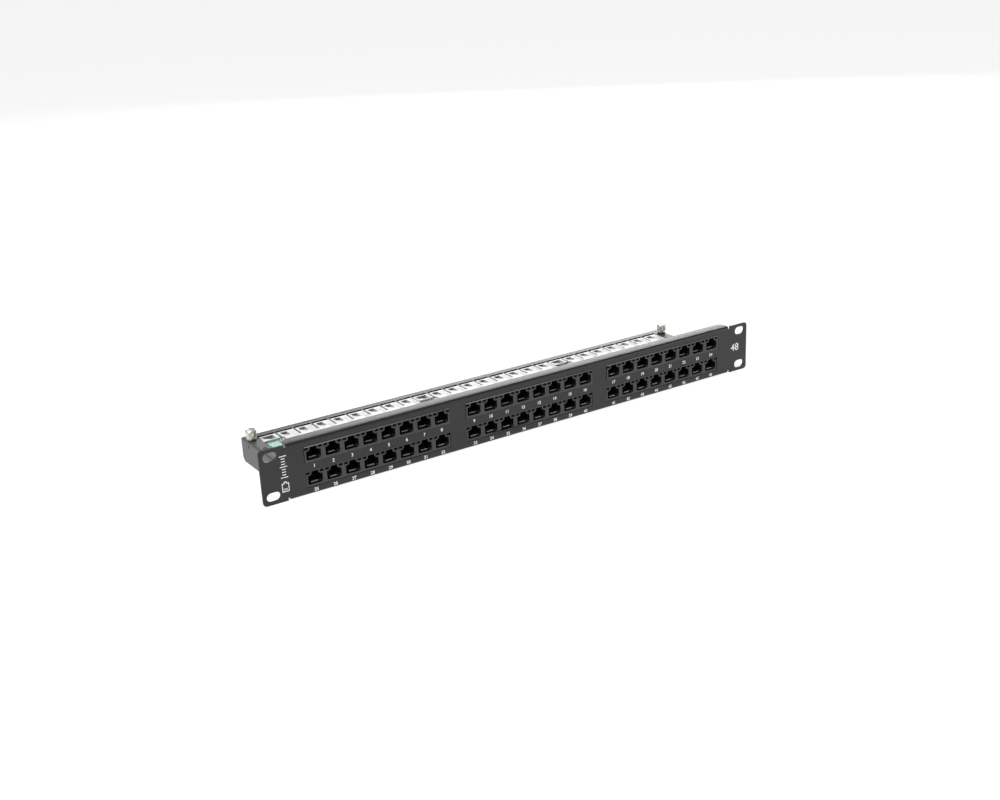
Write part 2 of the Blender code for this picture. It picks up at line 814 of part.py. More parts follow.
def make_board_fixing(group, x):
    board_bottom = BOARD_TOP - BOARD_THICKNESS
    spacer_high = board_bottom - GAP
    spacer_low = layer(board_bottom, "lower") + GAP
    make_hex(
        f"board_spacer_{group}",
        SPACER_FLATS,
        BOARD_SCREW_R + GAP,
        spacer_high - spacer_low,
        (x + BOARD_SCREW_X, BOARD_SCREW_Y, spacer_low),
    )
    profile = [
        (0, BOARD_SCREW_HEAD_HEIGHT),
        (BOARD_SCREW_HEAD_R, BOARD_SCREW_HEAD_HEIGHT),
        (BOARD_SCREW_HEAD_R, 0),
        (BOARD_SCREW_R, 0),
        (BOARD_SCREW_R, -BOARD_SCREW_LENGTH),
        (0, -BOARD_SCREW_LENGTH),
    ]
    for row in ("upper", "lower"):
        at = (x + BOARD_SCREW_X, BOARD_SCREW_Y, layer(BOARD_TOP + GAP, row))
        turned(f"board_screw_{row}_{group}", profile, "plated_steel", at, row == "lower")


def make_side_fixings(name, side):
    nut_y = BLOCK_FRONT_Y + TRAY_SHEET + GAP
    for level, z in zip(("upper", "lower"), STUD_Z):
        at = (side * STUD_X, nut_y, z)
        make_hex(f"tray_nut_{name}_{level}", NUT_FLATS, STUD_R + GAP, NUT_HEIGHT, at, endways)
    shank = TRAY_TOP - TRAY_BOTTOM - TRAY_SHEET + GAP
    cover_profile = [
        (0, COVER_SCREW_HEAD_HEIGHT),
        (COVER_SCREW_HEAD_R * COVER_SCREW_CROWN, COVER_SCREW_HEAD_HEIGHT),
        (COVER_SCREW_HEAD_R, COVER_SCREW_HEAD_HEIGHT * COVER_SCREW_SHOULDER),
        (COVER_SCREW_HEAD_R, 0),
        (STUD_R, 0),
        (STUD_R, -shank),
        (0, -shank),
    ]
    at = (side * COVER_SCREW_X, COVER_SCREW_Y, TRAY_TOP + GAP)
    turned(f"cover_screw_{name}", cover_profile, "plated_steel", at)


def make_thumbscrew(name, side):
    axis = (side * THUMBSCREW_X, THUMBSCREW_Y)
    washer_low = TRAY_TOP + GAP
    head_low = washer_low + WASHER_THICKNESS + GAP
    height = THUMBSCREW_HEAD_HEIGHT
    profile = [
        (0, height),
        (THUMBSCREW_HEAD_R - THUMBSCREW_CHAMFER, height),
        (THUMBSCREW_HEAD_R, height - THUMBSCREW_CHAMFER),
        (THUMBSCREW_HEAD_R, THUMBSCREW_CHAMFER),
        (THUMBSCREW_HEAD_R - THUMBSCREW_CHAMFER, 0),
        (STUD_R, 0),
        (STUD_R, -THUMBSCREW_LENGTH),
        (0, -THUMBSCREW_LENGTH),
    ]
    screw = turned(f"thumbscrew_{name}", profile, "plated_steel", (*axis, head_low))
    reach = THUMBSCREW_HEAD_R + CUT_OVERRUN
    slot = (
        (-reach, -THUMBSCREW_SLOT_WIDTH / 2, height - THUMBSCREW_SLOT_DEPTH),
        (reach, THUMBSCREW_SLOT_WIDTH / 2, height + CUT_OVERRUN),
    )
    cut(screw, boxes("slot", [slot]), "slot")
    washer = part(
        f"thumbscrew_washer_{name}",
        discs("washer", [(WASHER_R, 0, WASHER_THICKNESS, (0, 0))]),
        "dark_washer",
        (*axis, washer_low),
    )
    bore = (STUD_R + GAP, -CUT_OVERRUN, WASHER_THICKNESS + CUT_OVERRUN, (0, 0))
    cut(washer, discs("bore", [bore]), "bore")
    nut_low = TRAY_TOP - TRAY_SHEET - GAP - NUT_HEIGHT
    make_hex(f"thumbscrew_nut_{name}", NUT_FLATS, STUD_R + GAP, NUT_HEIGHT, (*axis, nut_low))


clear_scene()
PARTS = new_collection("patch_panel", False)
HELPERS = new_collection("cutters", True)
ASSEMBLY = bpy.data.objects.new("patch_panel", None)
PARTS.objects.link(ASSEMBLY)
ASSEMBLY.location = Vector((0, -(UPPER_NOSE_Y + TRAY_REAR_Y) / 2, HALF_HEIGHT)) * MM

make_front_panel()
make_rear_tray()
make_bottom_cover()
for group_name, group_x in GROUPS:
    for row_name in ("upper", "lower"):
        make_jack_block(row_name, group_name, group_x)
        make_carrier(row_name, group_name, group_x)
        make_board(row_name, group_name, group_x)
        make_strip(row_name, group_name, group_x)
    make_board_fixing(group_name, group_x)
for side_name, side_sign in SIDES:
    make_side_fixings(side_name, side_sign)
    make_thumbscrew(side_name, side_sign)
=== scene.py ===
"""The looks of a 48-port rack patch panel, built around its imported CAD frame.

Shapes are worked out in panel millimetres: x to the right, y back from the panel's front face and z up
from its mid height. Their places come from the boxes of the CAD nodes.
"""

import math
import random

import bmesh
import bpy
from mathutils import Matrix, Quaternion, Vector


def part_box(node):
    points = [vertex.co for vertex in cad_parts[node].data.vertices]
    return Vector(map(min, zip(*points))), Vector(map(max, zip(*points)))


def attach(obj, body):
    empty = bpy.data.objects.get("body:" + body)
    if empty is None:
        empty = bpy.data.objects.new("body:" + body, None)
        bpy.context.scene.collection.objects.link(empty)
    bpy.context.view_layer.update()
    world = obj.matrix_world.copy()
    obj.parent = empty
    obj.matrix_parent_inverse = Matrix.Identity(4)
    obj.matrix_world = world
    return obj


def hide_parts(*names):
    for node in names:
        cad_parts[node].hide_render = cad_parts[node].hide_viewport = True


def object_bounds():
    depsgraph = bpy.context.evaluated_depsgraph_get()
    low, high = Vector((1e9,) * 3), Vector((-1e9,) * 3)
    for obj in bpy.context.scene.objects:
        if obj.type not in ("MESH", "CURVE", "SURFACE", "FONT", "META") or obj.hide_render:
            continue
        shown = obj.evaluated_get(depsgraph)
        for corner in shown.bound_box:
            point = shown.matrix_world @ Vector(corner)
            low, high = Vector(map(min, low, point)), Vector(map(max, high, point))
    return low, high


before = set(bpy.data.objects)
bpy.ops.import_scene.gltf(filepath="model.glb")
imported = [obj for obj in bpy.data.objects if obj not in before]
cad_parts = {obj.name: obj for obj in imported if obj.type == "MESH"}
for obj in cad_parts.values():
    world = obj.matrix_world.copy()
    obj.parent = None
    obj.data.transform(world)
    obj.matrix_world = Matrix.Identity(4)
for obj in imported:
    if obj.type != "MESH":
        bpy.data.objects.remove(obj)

MM = 0.001
CAD_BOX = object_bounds()
PANEL_LOW, PANEL_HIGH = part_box("front_panel")
ORIGIN = Vector((0, PANEL_LOW.y, (PANEL_LOW.z + PANEL_HIGH.z) / 2))
TO_WORLD = Matrix.Translation(ORIGIN) @ Matrix.Scale(MM, 4)

GROUPS = ("left", "middle", "right")
ROWS = ("upper", "lower")
SIDES = ("left", "right")

# Camera and light
CAMERA_AT = (-0.56606, -0.87826, 0.39728)
CAMERA_AIM = (-0.03032, -0.0477, 0.03370)
CAMERA_LENS = 46.84
CAMERA_ROLL = -2.712
FLOOR_SIZE = 60.0
FLOOR_DROP = 0.0002
FLOOR_GREY = 0.30
FLOOR_GLOW = 0.82
HORIZON_LEVEL = 0.95
ZENITH_LEVEL = 0.26
HORIZON_HEIGHT = 0.04
ZENITH_HEIGHT = 0.34

# Finding faces and edges by where they lie
SAME_PLACE = 0.05
JUST_INSIDE = 0.1
SEAM = 0.002
SEAM_ANGLE = math.radians(0.6)
SQUARE_ON = 0.9
SIDEWAYS = 0.1

# Widths of the softened edges
PANEL_EDGE = 0.18
SHEET_EDGE = 0.15
BLOCK_EDGE = 0.12
STRIP_EDGE = 0.1
SMALL_EDGE = 0.08
BOARD_EDGE = 0.06
LIP_EDGE = 0.05
BLADE_EDGE = 0.04
NUT_EDGE = 0.3
WASHER_EDGE = 0.2

# Studs welded to the back of the panel
STUD_X = 210.8
STUD_REACH = 1.6
STUD_FRONT = 1.6
STUD_LOW = -18.2
STUD_HIGH = -6.8

# Tray
WINDOW_GAP = 2.4
WINDOW_SLACK = 0.3
TRAY_SHEET_REACH = 1.4
TRAY_WALL_REACH = 1.5
SLIT_Y = 81.7
SLIT_REACH = 0.7

# Ports
PORTS = 8
PORT_PITCH = 15.93
BLOCK_BOTTOM = 7.45
SOCKET_HALF_WIDTH = 6.1
SOCKET_DROP = 4.65
SOCKET_ROUND = 1.1
NOSE_HALF_HEIGHT = 6.35
NOSE_CHAMFER = 0.5
NOSE_SETBACK = 0.02
LABEL_FLOOR = 0.6
BLOCK_SIDE = 1.5
BLOCK_CAP = 1.6

# Contact wires and the lip at the front of each tongue
WIRES = 8
WIRE_PITCH = 0.72
WIRE_RADIUS = 0.17
WIRE_RUN = 10.5
WIRE_RISE = 4.4
WIRE_START = 3.1
WIRE_BEND = 4.0
WIRE_BEND_RISE = 0.45
WIRE_SINK = 0.1
WIRE_END = 0.8
LIP_HALF_WIDTH = 2.9
LIP_DEPTH = 1.0
LIP_HEIGHT = 0.38
LIP_TOOTH = 0.16
LIP_NOTCH_HALF = 0.2
LIP_SINK = 0.06
LIP_PROUD = 0.12
TONGUE_THICKNESS = 0.7
TONGUE_DROP = 4.35

# Printed marks
PRINT_THICKNESS = 0.03
NUMBER_SIZE = 3.7
NUMBER_WEIGHT = 0.07
UPPER_NUMBER_Z = -0.1
LOWER_NUMBER_Z = -19.2
EAR_MARK_X = 222.5
EAR_MARK_HALF = 2.9
EAR_MARK_STROKE = 0.6
SIGN_LOW = -14.5
SIGN_HIGH = -7.5
SIGN_LATCH_HALF = 1.2
SIGN_LATCH_RISE = 1.2
SIGN_WIRES = 4
SIGN_WIRE_LEFT = -1.65
SIGN_WIRE_PITCH = 0.9
SIGN_WIRE_WIDTH = 0.4
SIGN_WIRE_LOW = -13.3
SIGN_WIRE_HIGH = -11.6
RULE_MARKS = 9
RULE_LOW = -3.2
RULE_PITCH = 2.1
RULE_SHORT_HALF = 1.6
EAR_NUMBER_X = 227.0
EAR_NUMBER_Z = 0.6
EAR_NUMBER_SIZE = 9.5
EAR_NUMBER_WEIGHT = 0.05

# Termination strips
GROOVE_HALF = 0.85
STRIP_CHAMFER = 0.75
PIT_LEFT = 2.4
PIT_WIDTH = 5.9
FIRST_PIT_WIDTH = 9.6
PIT_FRONT = -10.6
PIT_REAR = -2.8
PIT_SLANT = 3.2
PIT_SLANT_SHARE = 0.55
PIT_DEPTH = 7.5
RIM_CLEARANCE = 0.06
RIM_WIDTH = 0.45
RIM_HEIGHT = 0.22
DETAIL_SINK = 0.1
RIB_START = 10.0
RIB_PITCH = 1.15
RIB_WIDTH = 0.4
RIB_HEIGHT = 0.18
RIB_FRONT = -18.6
RIB_REAR = -3.6
FIRST_RIB_FRONT = -11.2
RIB_MARGIN = 1.6
BLADE_PLACES = (0.3, 0.75)
BLADE_SETBACK = 1.0
BLADE_PITCH = 1.9
BLADE_THICKNESS = 0.4
BLADE_HEIGHT = 3.2
BLADE_HALF = 0.75
BLADE_CORNER = 0.3
BLADE_SLOT_HALF = 0.16
BLADE_SLOT_DEPTH = 2.2
BLADE_LEAD_WIDTH = 0.2
BLADE_LEAD_DEPTH = 0.5

# Boards
TRACE_WIDTH = 0.28
TRACE_HEIGHT = 0.035
TRACE_PITCH = 1.25
TRACE_MARGIN = 2.0
TRACE_JOG = 0.6
TRACE_START = 19.0
TRACE_START_SPREAD = 4.0
TRACE_TURN = 10.0
TRACE_TURN_SPREAD = 2.0
TRACE_END = 2.0
TRACE_END_STEP = 1.5
TRACE_SINK = 0.01
PAD_RADIUS = 0.55
PAD_HEIGHT = 0.06
PAD_SIDES = 12

# Fasteners
TURNED_SIDES = 48
BOARD_SCREW = (2.0, 1.1, 1.2)
COVER_SCREW = (2.5, 1.6, 1.5)
DOME_STEPS = 6
DOME_FLAT = 0.45
DOME_FOOT = 0.1
DOME_UNDERCUT = 0.97
CROSS_ARM = 0.45
CROSS_REACH = 0.62
CROSS_DEPTH = 0.55
THREAD_PITCH = 0.5
THREAD_DEPTH = 0.22
THREAD_START = 0.4
THREAD_END = 1.0
THREAD_CHAMFER = 0.35
THUMB_HEAD_HEIGHT = 7.6
THUMB_SHANK_R = 1.5
THUMB_GRIP_LOW = 1.5
THUMB_RIM = 0.6
THUMB_SLOT_HALF = 0.7
THUMB_SLOT_REACH = 7.0
THUMB_SLOT_DEPTH = 1.6
KNURLS = 36
KNURL_DEPTH = 0.22
KNURL_LEAST_RADIUS = 4.2

SMOOTH_ANGLE = math.radians(40)


def local_box(node):
    """A CAD node's two corners in panel millimetres."""
    low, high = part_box(node)
    return (low - ORIGIN) / MM, (high - ORIGIN) / MM


# ---- materials ----


def add_node(tree, kind, settings=None, inputs=None):
    """A shader node. An input is given as a value, or as the socket that feeds it."""
    made = tree.nodes.new(f"ShaderNode{kind}")
    for name, value in (settings or {}).items():
        setattr(made, name, value)
    for name, value in (inputs or {}).items():
        if isinstance(value, bpy.types.NodeSocket):
            tree.links.new(value, made.inputs[name])
        else:
            made.inputs[name].default_value = value
    return made


def noise(tree, place, scale, detail=3.0):
    made = add_node(tree, "TexNoise", inputs={"Vector": place, "Scale": scale, "Detail": detail})
    return made.outputs["Fac"]


def mapped(tree, value, start, end, low, high):
    """A value taken from one range to another, and held inside it."""
    inputs = {"Value": value, "From Min": start, "From Max": end, "To Min": low, "To Max": high}
    return add_node(tree, "MapRange", inputs=inputs).outputs["Result"]


def multiply(tree, a, b):
    made = add_node(tree, "Math", {"operation": "MULTIPLY"}, {0: a})
    if isinstance(b, bpy.types.NodeSocket):
        tree.links.new(b, made.inputs[1])
    else:
        made.inputs[1].default_value = b
    return made.outputs[0]


def mixed(tree, share, a, b):
    """Colour a turning into colour b."""
    made = tree.nodes.new("ShaderNodeMix")
    made.data_type = "RGBA"
    tree.links.new(share, made.inputs["Factor"])
    for name, value in (("A", a), ("B", b)):
        socket = next(s for s in made.inputs if s.name == name and s.type == "RGBA")
        if isinstance(value, bpy.types.NodeSocket):
            tree.links.new(value, socket)
        else:
            socket.default_value = (*value, 1)
    return next(s for s in made.outputs if s.type == "RGBA")


def stretched(tree, place, scale):
    return add_node(tree, "Mapping", inputs={"Vector": place, "Scale": scale}).outputs["Vector"]


def powder(tree, place):
    """Orange-peel pimples about half a millimetre across."""
    cells = add_node(
        tree,
        "TexVoronoi",
        {"feature": "SMOOTH_F1"},
        {"Vector": place, "Scale": 1500.0, "Smoothness": 1.0},
    )
    return cells.outputs["Distance"]


def moulded(tree, place):
    """The fine spark-eroded skin of a moulding."""
    return noise(tree, place, 2600.0, 2.0)


def brushed(tree, place):
    """Fine drawn lines that run round or along the part."""
    return noise(tree, stretched(tree, place, (300.0, 300.0, 5200.0)), 1.0, 2.0)


def woven(tree, place):
    """Glass cloth under resin: threads that cross at right angles."""
    threads = []
    for direction in ("X", "Y"):
        wave = add_node(
            tree,
            "TexWave",
            {"bands_direction": direction},
            {"Vector": place, "Scale": 620.0, "Distortion": 1.2, "Detail": 1.0},
        )
        threads.append(wave.outputs["Fac"])
    return multiply(tree, *threads)


def edge_mask(tree, place, width):
    """Near 1 along outer edges, in broken patches, and 0 on flat faces."""
    soft = add_node(tree, "Bevel", {"samples": 4}, {"Radius": width})
    flat = add_node(tree, "NewGeometry").outputs["Normal"]
    turn = add_node(
        tree, "VectorMath", {"operation": "DOT_PRODUCT"}, {0: soft.outputs["Normal"], 1: flat}
    )
    edge = mapped(tree, turn.outputs["Value"], 0.998, 0.93, 0.0, 1.0)
    patches = mapped(tree, noise(tree, place, 260.0), 0.42, 0.62, 0.25, 1.0)
    return multiply(tree, edge, patches)


def finish_of(
    name,
    colors,
    roughness,
    grain,
    depth,
    worn,
    wear_width=0.25,
    gloss_change=0.07,
    metallic=0.0,
    specular=0.5,
    cloud_scale=22.0,
):
    """A finished surface. Its colour drifts between two tones, its edges are rubbed to a third, and the
    grain raises the surface by depth in millimetres and changes its gloss."""
    material = bpy.data.materials.new(name)
    material.use_nodes = True
    tree = material.node_tree
    shader = tree.nodes["Principled BSDF"]
    place = add_node(tree, "TexCoord").outputs["Object"]
    relief = grain(tree, place)
    cloud = mapped(tree, noise(tree, place, cloud_scale, 5.0), 0.35, 0.65, 0.0, 1.0)
    speck = mapped(tree, noise(tree, place, 900.0, 2.0), 0.3, 0.7, 0.0, 0.35)
    body = mixed(tree, cloud, colors[0], colors[1])
    body = mixed(tree, multiply(tree, speck, relief), body, colors[1])
    body = mixed(tree, edge_mask(tree, place, wear_width * MM), body, worn)
    gloss = mapped(tree, relief, 0.2, 0.8, roughness - gloss_change, roughness + gloss_change)
    bump = add_node(
        tree, "Bump", inputs={"Strength": 0.6, "Distance": depth * MM, "Height": relief}
    )
    tree.links.new(body, shader.inputs["Base Color"])
    tree.links.new(gloss, shader.inputs["Roughness"])
    tree.links.new(bump.outputs["Normal"], shader.inputs["Normal"])
    shader.inputs["Metallic"].default_value = metallic
    shader.inputs["Specular IOR Level"].default_value = specular
    return material


def grey(level, warm=0.0):
    return (level * (1 + warm), level, level * (1 - warm))


BLACK_STEEL = finish_of(
    "black_powder_coat", (grey(0.010), grey(0.014)), 0.42, powder, 0.05, grey(0.045), specular=0.45
)
GREY_STEEL = finish_of(
    "grey_powder_coat", (grey(0.072), grey(0.090)), 0.46, powder, 0.05, grey(0.2), specular=0.38
)
# Painted shade: near black, for tray faces in the shadowed gaps behind the strips and in the side slits.
PAINTED_SHADE_EDGE = finish_of(
    "painted_shade_edge", (grey(0.006), grey(0.010)), 0.7, brushed, 0.02, grey(0.02), specular=0.1
)
JACK_PLASTIC = finish_of("jack_plastic", (grey(0.030), grey(0.038)), 0.5, moulded, 0.03, grey(0.12))
# Painted highlight: paler jack plastic for the lit top edge of the upper noses.
NOSE_HIGHLIGHT = finish_of(
    "nose_painted_highlight", (grey(0.20), grey(0.25)), 0.42, moulded, 0.02, grey(0.28), wear_width=0.1
)
# Painted shade: the jack plastic made near black for the insides of sockets and label windows.
SOCKET_SHADE = finish_of(
    "socket_painted_shade", (grey(0.003), grey(0.005)), 0.7, moulded, 0.03, grey(0.008), specular=0.15
)
CARRIER_PLASTIC = finish_of(
    "carrier_plastic", (grey(0.006), grey(0.009)), 0.6, moulded, 0.03, grey(0.02), specular=0.2
)
LIP_PLASTIC = finish_of("lip_plastic", (grey(0.24), grey(0.30)), 0.45, moulded, 0.02, grey(0.4))
LAMINATE = finish_of(
    "board_laminate",
    ((0.25, 0.50, 0.40), (0.29, 0.56, 0.46)),
    0.34,
    woven,
    0.012,
    (0.50, 0.62, 0.45),
    cloud_scale=60.0,
)
TRACE = finish_of(
    "board_trace", ((0.19, 0.42, 0.33), (0.22, 0.47, 0.38)), 0.3, woven, 0.01, (0.35, 0.55, 0.46)
)
STRIP_PLASTIC = finish_of(
    "strip_plastic", (grey(0.68, 0.005), grey(0.74)), 0.42, moulded, 0.03, grey(0.86), cloud_scale=60.0
)
RIB_PLASTIC = finish_of(
    "rib_plastic", (grey(0.56), grey(0.64)), 0.42, moulded, 0.03, grey(0.8), cloud_scale=60.0
)
# Painted shade for the pits in the white strips: darker copies of the strip plastic, by how much light each
# wall would get.
PIT_SHADE_REAR = finish_of(
    "pit_painted_shade_rear", (grey(0.24), grey(0.30)), 0.6, moulded, 0.03, grey(0.35), specular=0.2, cloud_scale=60.0
)
PIT_SHADE_DEEP = finish_of(
    "pit_painted_shade_deep", (grey(0.05), grey(0.07)), 0.6, moulded, 0.03, grey(0.2), specular=0.2, cloud_scale=60.0
)
PIT_SHADE_SIDE = finish_of(
    "pit_painted_shade_side", (grey(0.40), grey(0.46)), 0.6, moulded, 0.03, grey(0.5), specular=0.2, cloud_scale=60.0
)
PLATED = finish_of(
    "plated_steel",
    (grey(0.66, 0.02), grey(0.78, 0.01)),
    0.30,
    brushed,
    0.02,
    grey(0.88),
    metallic=1.0,
    cloud_scale=120.0,
)
NICKEL = finish_of(
    "nickel_plated",
    ((0.58, 0.56, 0.51), (0.70, 0.68, 0.62)),
    0.36,
    brushed,
    0.02,
    (0.90, 0.89, 0.85),
    metallic=1.0,
    cloud_scale=120.0,
)
DARK_PLATED = finish_of(
    "dark_plated", (grey(0.05, 0.03), grey(0.08, 0.02)), 0.42, brushed, 0.02, grey(0.3), metallic=1.0
)
GOLD = finish_of(
    "gold_contact",
    ((0.42, 0.27, 0.09), (0.50, 0.33, 0.12)),
    0.36,
    brushed,
    0.01,
    (0.62, 0.45, 0.20),
    metallic=1.0,
    wear_width=0.08,
)
SOLDER = finish_of(
    "solder", (grey(0.55), grey(0.68)), 0.33, brushed, 0.01, grey(0.8), metallic=1.0, wear_width=0.08
)
INK = finish_of("white_ink", (grey(0.78), grey(0.88)), 0.6, moulded, 0.02, grey(0.6), wear_width=0.05)


# ---- shapes ----


def add_box(bm, low, high):
    made = bmesh.ops.create_cube(bm, size=1)["verts"]
    size = Vector(high) - Vector(low)
    bmesh.ops.scale(bm, vec=size, verts=made)
    bmesh.ops.translate(bm, vec=Vector(low) + size / 2, verts=made)


def add_prism(bm, bottom, rise):
    """A prism from its bottom corners and the vector to its top."""
    face = bm.faces.new([bm.verts.new(point) for point in bottom])
    made = bmesh.ops.extrude_face_region(bm, geom=[face])["geom"]
    moved = [item for item in made if isinstance(item, bmesh.types.BMVert)]
    bmesh.ops.translate(bm, vec=Vector(rise), verts=moved)


def add_ring_prism(bm, inner, outer, low, high):
    """An upright wall between two outlines that have as many corners as each other."""
    loops = []
    for outline, z in ((inner, low), (inner, high), (outer, high), (outer, low)):
        loops.append([bm.verts.new((x, y, z)) for x, y in outline])
    for first, second in zip(loops, loops[1:] + loops[:1]):
        for i in range(len(first)):
            j = (i + 1) % len(first)
            bm.faces.new((first[i], first[j], second[j], second[i]))


def add_turned(bm, at, profile, sides=TURNED_SIDES, reach=None):
    """A solid of revolution about the upright line through at. The profile runs from axis to axis."""
    rings = []
    for radius, z in profile:
        ring = []
        for i in range(sides if radius else 1):
            angle = 2 * math.pi * i / sides
            out = reach(radius, z, angle) if reach and radius else radius
            ring.append(bm.verts.new((at[0] + out * math.cos(angle), at[1] + out * math.sin(angle), z)))
        rings.append(ring)
    for upper, lower in zip(rings, rings[1:]):
        for i in range(sides):
            j = (i + 1) % sides
            corners = [upper[i % len(upper)], upper[j % len(upper)]]
            corners += [lower[j % len(lower)], lower[i % len(lower)]]
            bm.faces.new(list(dict.fromkeys(corners)))


def add_wire(bm, points, radius, sides=6):
    """A round wire through points that share one x, with closed ends."""
    rings = []
    for i, point in enumerate(points):
        before = points[max(i - 1, 0)]
        after = points[min(i + 1, len(points) - 1)]
        along = (Vector(after) - Vector(before)).normalized()
        across = Vector((1, 0, 0))
        up = across.cross(along)
        ring = []
        for k in range(sides):
            angle = 2 * math.pi * k / sides
            out = across * math.cos(angle) + up * math.sin(angle)
            ring.append(bm.verts.new(Vector(point) + radius * out))
        rings.append(ring)
    for first, second in zip(rings, rings[1:]):
        for k in range(sides):
            m = (k + 1) % sides
            bm.faces.new((first[k], first[m], second[m], second[k]))
    bm.faces.new(rings[0])
    bm.faces.new(rings[-1])


def chamfer(bm, y, z, width):
    """Takes off the straight edges that run along x at one depth and height. Returns the new faces."""
    edges = [
        edge
        for edge in bm.edges
        if all(abs(v.co.y - y) < SAME_PLACE and abs(v.co.z - z) < SAME_PLACE for v in edge.verts)
    ]
    return bmesh.ops.bevel(bm, geom=edges, offset=width, segments=1, affect="EDGES")["faces"]


def mirrored(bm, plane):
    """Turns the shape upside down about a height, for the lower layer."""
    for vert in bm.verts:
        vert.co.z = 2 * plane - vert.co.z


def soften(obj, width, segments=2):
    """Small rounded edges, and smooth shading where faces meet at a shallow angle."""
    obj.data.shade_smooth()
    obj.data.set_sharp_from_angle(angle=SMOOTH_ANGLE)
    if not width:
        return
    bevel = obj.modifiers.new("edges", "BEVEL")
    bevel.width = width * MM
    bevel.segments = segments
    bevel.limit_method = "ANGLE"
    bevel.angle_limit = SMOOTH_ANGLE
    bevel.harden_normals = True


def piece(name, bm, materials, body="panel", edge=0.0, stands_for=()):
    """A visible piece from a bmesh in panel millimetres."""
    bmesh.ops.recalc_face_normals(bm, faces=bm.faces)
    bm.transform(TO_WORLD)
    mesh = bpy.data.meshes.new(name)
    bm.to_mesh(mesh)
    bm.free()
    for material in materials:
        mesh.materials.append(material)
    obj = bpy.data.objects.new(name, mesh)
    bpy.context.scene.collection.objects.link(obj)
    soften(obj, edge)
    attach(obj, body)
    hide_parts(*stands_for)
    return obj


def solid_of(node):
    """A CAD node's shape as a bmesh in panel millimetres, without the seams between its triangles."""
    bm = bmesh.new()
    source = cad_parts[node].data
    verts = [bm.verts.new(vert.co) for vert in source.vertices]
    for polygon in source.polygons:
        bm.faces.new([verts[i] for i in polygon.vertices])
    bmesh.ops.remove_doubles(bm, verts=bm.verts, dist=SEAM * MM)
    bmesh.ops.dissolve_limit(bm, angle_limit=SEAM_ANGLE, verts=bm.verts, edges=bm.edges)
    bm.transform(TO_WORLD.inverted())
    return bm


def finished(node, bm, materials, edge, body="panel"):
    """The piece that stands for a CAD node."""
    return piece(f"{node}_finished", bm, materials, body, edge, [node])


def refined(node, materials, edge):
    """A CAD node with softened edges and a finished surface."""
    return finished(node, solid_of(node), materials, edge)


# ---- front panel and tray ----


def make_front_panel():
    """The coated panel. Its welded studs are left bare."""
    bm = solid_of("front_panel")
    for face in bm.faces:
        middle = face.calc_center_median()
        beside = abs(abs(middle.x) - STUD_X) < STUD_REACH and STUD_LOW < middle.z < STUD_HIGH
        face.material_index = int(beside and middle.y > STUD_FRONT)
    finished("front_panel", bm, [BLACK_STEEL, PLATED], PANEL_EDGE)


def make_tray():
    """The tray. The edge behind the strips and the faces of the side slits carry painted shade: a near-black
    finish standing in for the shadow in those gaps.
    """
    bm = solid_of("rear_tray")
    _, tray_high = local_box("rear_tray")
    _, strip_high = local_box("idc_strip_upper_middle")
    for face in bm.faces:
        middle = face.calc_center_median()
        behind = strip_high.y < middle.y < strip_high.y + WINDOW_GAP + WINDOW_SLACK
        in_sheet = middle.z > strip_high.z - TRAY_SHEET_REACH
        window_edge = behind and in_sheet and face.normal.y < -SQUARE_ON
        in_wall = abs(middle.x) > tray_high.x - TRAY_WALL_REACH and abs(face.normal.x) < SIDEWAYS
        slit = in_wall and abs(middle.y - SLIT_Y) < SLIT_REACH and middle.z < strip_high.z - TRAY_SHEET_REACH
        # Faces in those gaps get the painted shade.
        face.material_index = int(window_edge or slit)
    finished("rear_tray", bm, [GREY_STEEL, PAINTED_SHADE_EDGE], SHEET_EDGE)
    refined("bottom_cover", [GREY_STEEL], SHEET_EDGE)


# ---- printed marks ----


def add_text(bm, words, size, weight, at):
    """Printed characters on the front face, centred on at = (x, z)."""
    curve = bpy.data.curves.new("print", "FONT")
    curve.body = words
    curve.size = size
    curve.offset = weight
    curve.extrude = PRINT_THICKNESS / 2
    curve.align_x = "CENTER"
    curve.align_y = "CENTER"
    obj = bpy.data.objects.new("print", curve)
    mesh = bpy.data.meshes.new_from_object(obj)
    upright = Matrix.Rotation(math.pi / 2, 4, "X")
    mesh.transform(Matrix.Translation((at[0], -PRINT_THICKNESS / 2, at[1])) @ upright)
    bm.from_mesh(mesh)
    bpy.data.objects.remove(obj)
    bpy.data.curves.remove(curve)
    bpy.data.meshes.remove(mesh)


def port_xs(group):
    low, high = local_box(f"jack_block_upper_{group}")
    middle = (low.x + high.x) / 2
    return [middle + (i - (PORTS - 1) / 2) * PORT_PITCH for i in range(PORTS)]


def make_numbers():
    number = 1
    for row, z in (("upper", UPPER_NUMBER_Z), ("lower", LOWER_NUMBER_Z)):
        for group in GROUPS:
            bm = bmesh.new()
            for x in port_xs(group):
                add_text(bm, str(number), NUMBER_SIZE, NUMBER_WEIGHT, (x, z))
                number += 1
            piece(f"port_numbers_{row}_{group}", bm, [INK])


